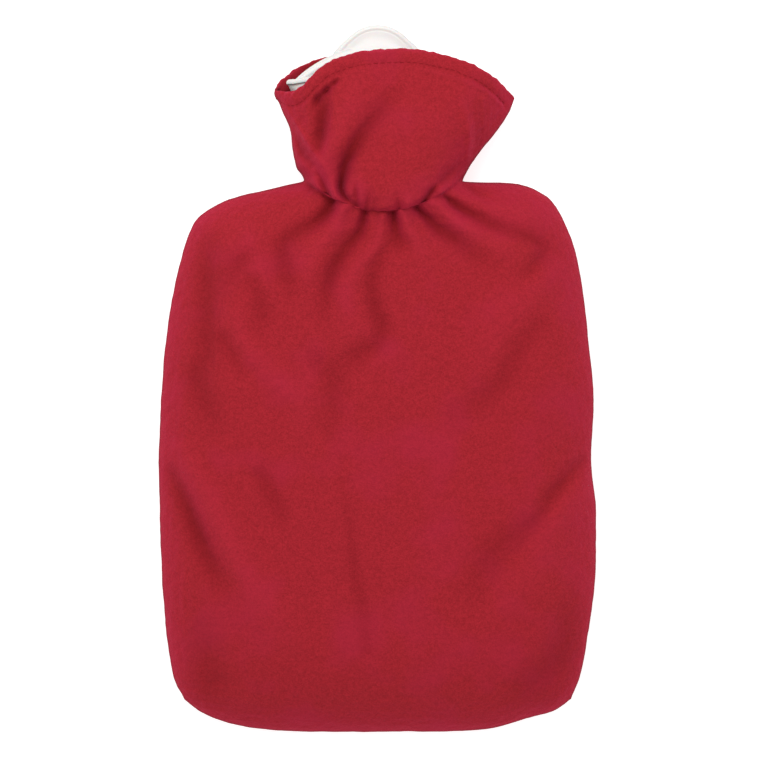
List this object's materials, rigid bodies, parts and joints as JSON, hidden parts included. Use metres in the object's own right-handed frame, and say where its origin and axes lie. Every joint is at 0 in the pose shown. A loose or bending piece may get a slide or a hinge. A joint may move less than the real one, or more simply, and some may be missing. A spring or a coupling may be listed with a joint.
{
  "type": "hot water bottle in its fleece cover",
  "caption": "Soft fleece cover gathered at the neck, with a flared hemmed collar, on the plain hot water bottle it fits, whose funnel rim and round hanging tab show.",
  "frame": {"origin": "middle of the box round the whole object, on the surface it lies on", "axes": "+Z out of the cover's front face, +Y towards its mouth, +X to the right seen from the front"},
  "size_m": [0.2108, 0.3392, 0.0476],
  "materials": {
    "fleece": "brushed polyester fleece, matt with a soft pile",
    "bottle_plastic": "white translucent moulded plastic, satin",
    "stopper_plastic": "white moulded plastic, satin"
  },
  "bodies": {
    "root": {"front_panel": "fleece", "back_panel": "fleece", "bottle": "bottle_plastic", "stopper": "stopper_plastic"}
  },
  "joints": []
}
